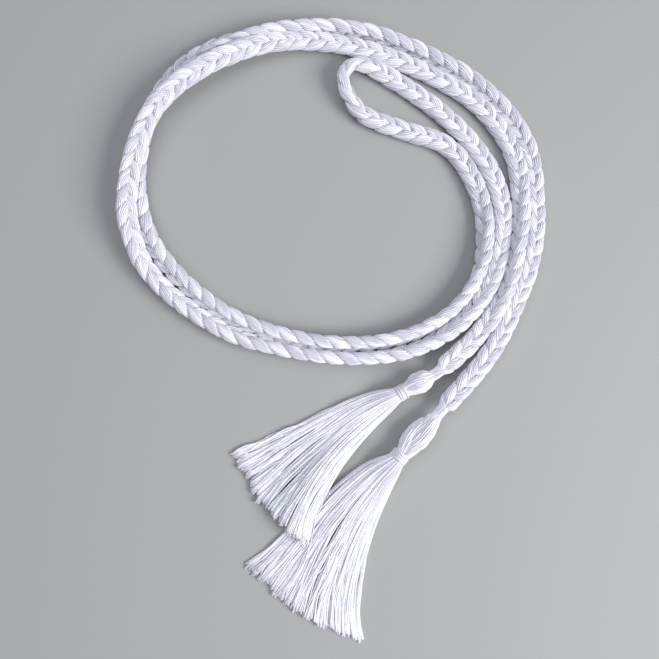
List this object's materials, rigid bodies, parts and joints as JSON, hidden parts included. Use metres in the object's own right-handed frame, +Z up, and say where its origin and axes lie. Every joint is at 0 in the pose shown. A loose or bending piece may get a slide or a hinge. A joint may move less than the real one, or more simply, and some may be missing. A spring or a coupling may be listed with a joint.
{
  "type": "plaited cord belt with tassels",
  "caption": "White flat-plaited cord belt with a thread tassel on each end, folded in half and laid in a loose double ring.",
  "frame": {"origin": "middle of the bottom of the whole belt's box, on the surface that it lies on", "axes": "+Z up, +Y from the tassels across the ring, +X towards the side where the two ends leave the ring"},
  "size_m": [0.2264, 0.3266, 0.0142],
  "materials": {
    "strand_thread": "satin mercerised thread, lightly twisted yarns side by side",
    "tassel_thread": "satin mercerised thread, loose parallel threads with cut ends",
    "binding_thread": "satin thread wound in tight turns"
  },
  "bodies": {
    "plait": {"strand_1": "strand_thread", "strand_2": "strand_thread", "strand_3": "strand_thread", "end_tie_a": "binding_thread", "end_tie_b": "binding_thread"},
    "head_a": {"tassel_head_a": "tassel_thread", "end_knot_a": "strand_thread", "neck_wrap_a": "binding_thread"},
    "skirt_a": {"skirt_a_1": "tassel_thread", "skirt_a_2": "tassel_thread", "skirt_a_3": "tassel_thread", "skirt_a_4": "tassel_thread", "skirt_a_5": "tassel_thread", "skirt_a_6": "tassel_thread", "skirt_a_7": "tassel_thread"},
    "head_b": {"tassel_head_b": "tassel_thread", "end_knot_b": "strand_thread", "neck_wrap_b": "binding_thread"},
    "skirt_b": {"skirt_b_1": "tassel_thread", "skirt_b_2": "tassel_thread", "skirt_b_3": "tassel_thread", "skirt_b_4": "tassel_thread", "skirt_b_5": "tassel_thread", "skirt_b_6": "tassel_thread", "skirt_b_7": "tassel_thread"}
  },
  "joints": [
    {"name": "tassel_a_swing", "type": "hinge", "parent": "plait", "child": "head_a", "pos_m": [0.05207, -0.02824, 0.0059], "axis": [0, 0, 1], "range_deg": [-18, 0]},
    {"name": "skirt_a_lift", "type": "hinge", "parent": "head_a", "child": "skirt_a", "pos_m": [0.03048, -0.03972, 0.0097], "axis": [-0.6361, 0.7716, 0], "range_deg": [0, 60]},
    {"name": "tassel_b_swing", "type": "hinge", "parent": "plait", "child": "head_b", "pos_m": [0.05307, -0.04824, 0.0065], "axis": [0, 0, 1], "range_deg": [0, 25]},
    {"name": "skirt_b_brush", "type": "hinge", "parent": "head_b", "child": "skirt_b", "pos_m": [0.03245, -0.07619, 0.0065], "axis": [0, 0, 1], "range_deg": [0, 20]}
  ]
}
